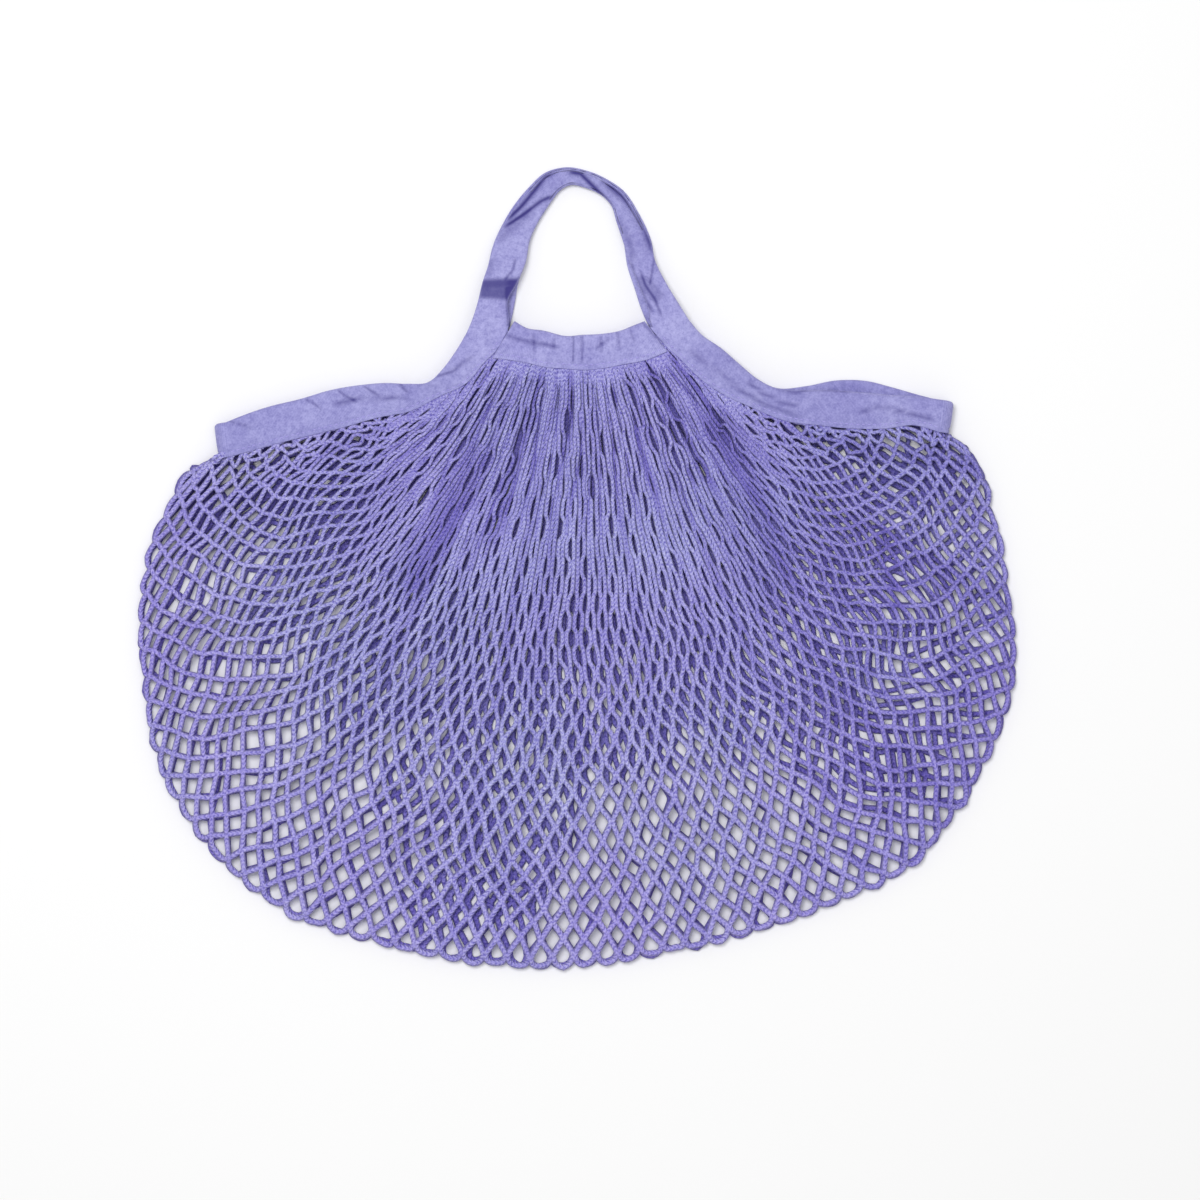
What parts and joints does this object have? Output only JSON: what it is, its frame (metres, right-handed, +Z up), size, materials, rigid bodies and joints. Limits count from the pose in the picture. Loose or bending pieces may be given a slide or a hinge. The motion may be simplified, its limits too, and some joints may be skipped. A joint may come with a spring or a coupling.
{
  "type": "string shopping bag",
  "caption": "Knitted string shopping bag lying flat, its open net gathered into folded cloth tape that forms the side bindings and the two handles.",
  "frame": {"origin": "middle of the bag's footprint, on the surface that it lies on", "axes": "+X across the bag to the right of the front face, +Y from the bottom of the net towards the handles, +Z up from the surface, out of the front face"},
  "size_m": [0.4578, 0.4176, 0.0135],
  "materials": {
    "tape": "matt woven cotton",
    "net": "matt knitted cotton"
  },
  "bodies": {
    "root": {"net_front": "net", "net_back": "net", "net_fold": "net", "front_mouth_binding": "tape", "back_mouth_binding": "tape", "left_side_binding": "tape", "right_side_binding": "tape", "front_handle": "tape", "back_handle": "tape"}
  },
  "joints": []
}
